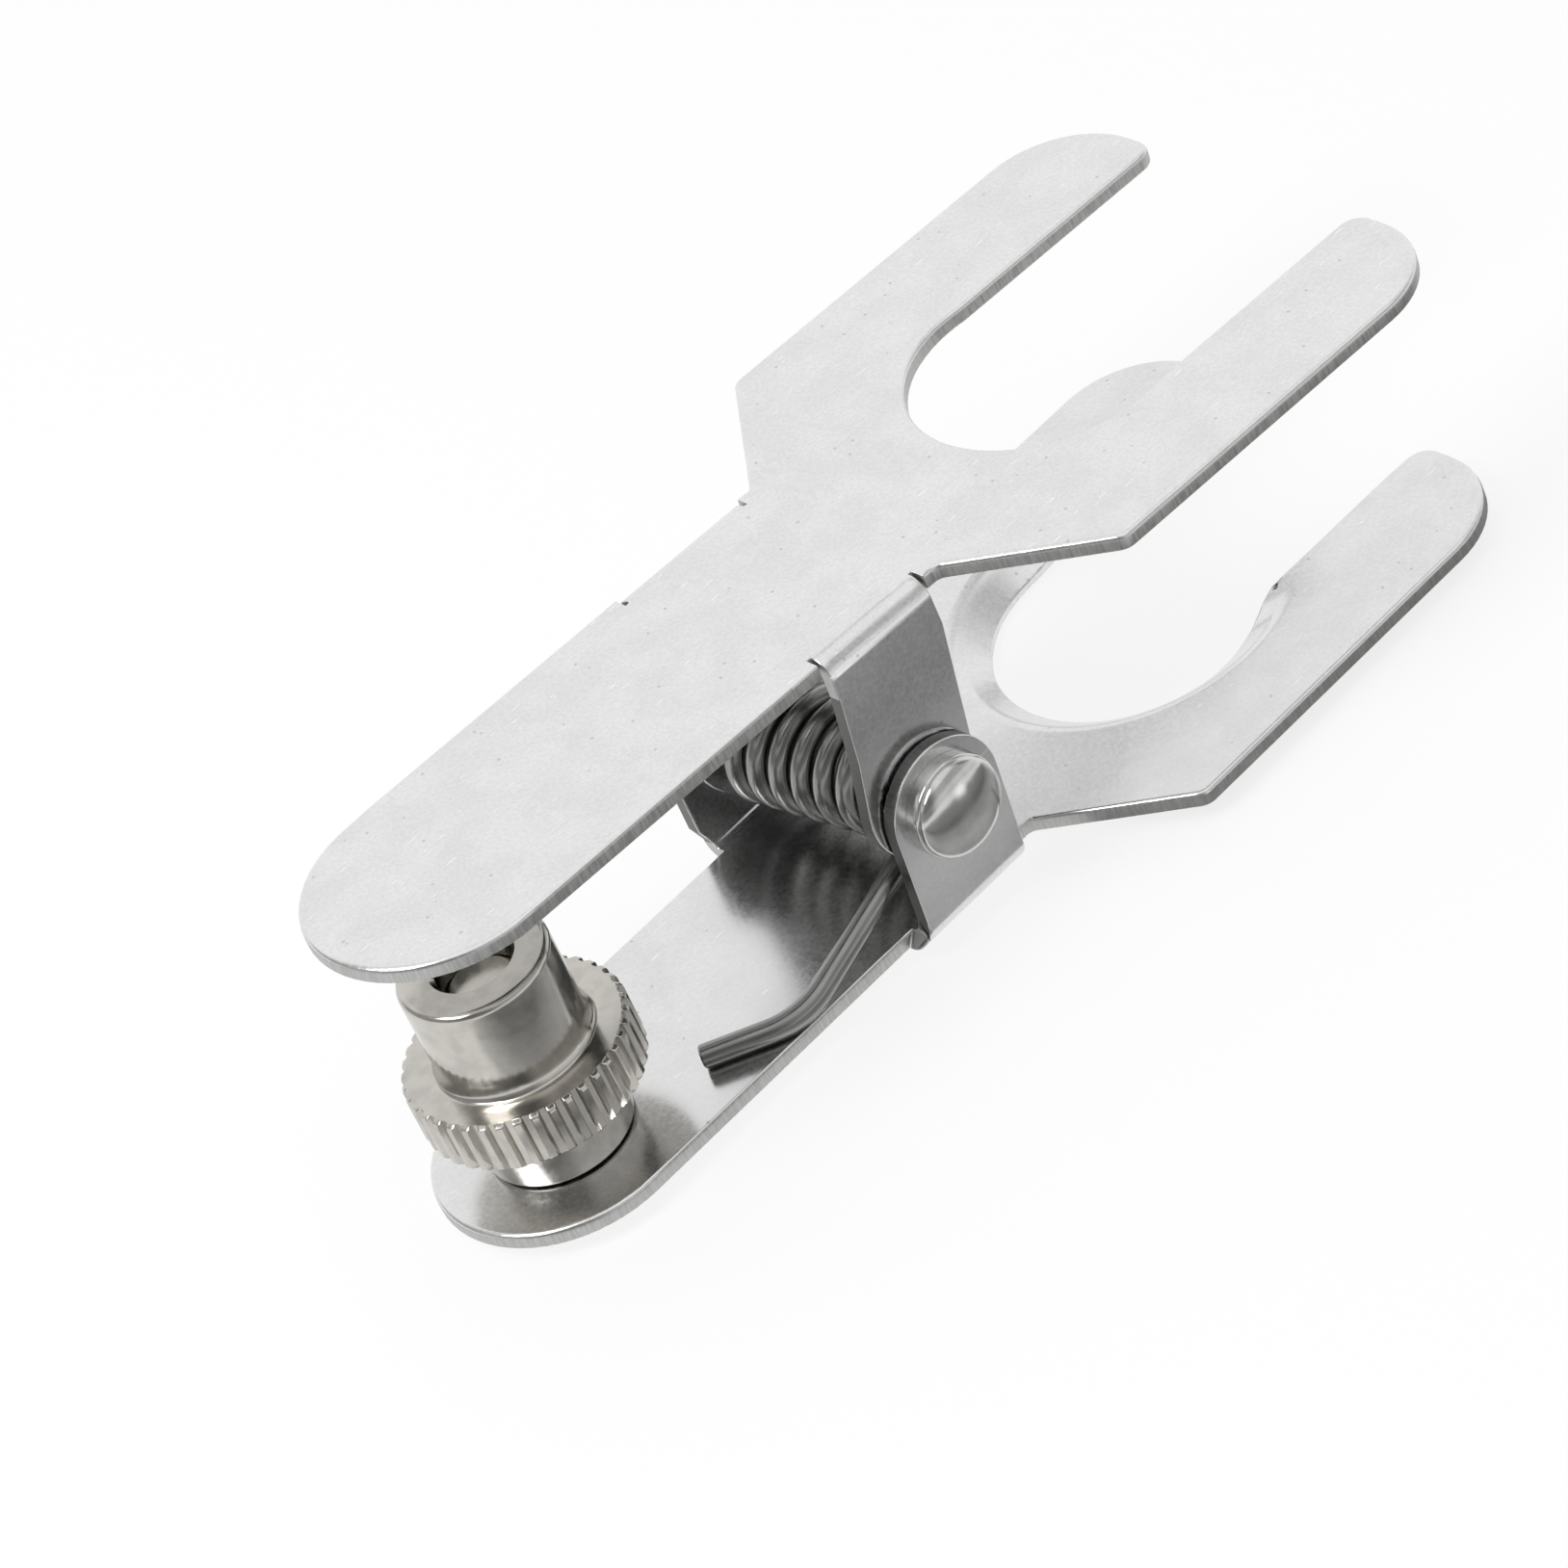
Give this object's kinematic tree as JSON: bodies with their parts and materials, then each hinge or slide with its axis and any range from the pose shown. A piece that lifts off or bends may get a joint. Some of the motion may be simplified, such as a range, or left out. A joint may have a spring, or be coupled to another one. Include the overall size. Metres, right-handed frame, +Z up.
{
  "type": "fork clamp for ball joints",
  "caption": "Stamped steel fork clamp for laboratory ball joints, with a rivet pivot, a closing torsion spring and a knurled lock nut on a stud.",
  "frame": {"origin": "axis of the lower jaw's dished seat, in the plane that its rim and the stud's foot stand on", "axes": "+X from the handles towards the prong tips, along the lower jaw; +Z up, out of the lower jaw towards the upper one; +Y to the left"},
  "size_m": [0.0835, 0.037, 0.0254],
  "materials": {
    "upper_sheet": "satin bright stainless sheet with fine specks",
    "lower_sheet": "satin bright stainless sheet with fine specks",
    "rivet_steel": "polished",
    "spring_wire": "drawn wire, semi-bright",
    "stud_steel": "nickel-plated",
    "nut_nickel": "nickel-plated, turned and knurled"
  },
  "bodies": {
    "lower_jaw": {"lower_jaw": "lower_sheet", "pivot_rivet": "rivet_steel", "jaw_spring": "spring_wire", "lock_stud": "stud_steel"},
    "upper_jaw": {"upper_jaw": "upper_sheet"},
    "lock_nut": {"lock_nut": "nut_nickel"}
  },
  "joints": [
    {"name": "jaw_hinge", "type": "hinge", "parent": "lower_jaw", "child": "upper_jaw", "pos_m": [-0.0238, 0, 0.00975], "axis": [0, -1, 0], "range_deg": [-22.5, 4], "stiffness_Nm_per_rad": 0.43, "springref_deg": -48.13, "deforming": ["jaw_spring"]},
    {"name": "nut_travel", "type": "slide", "parent": "lower_jaw", "child": "lock_nut", "axis": [0, 0, 1], "range_m": [0, 0.0037]}
  ]
}
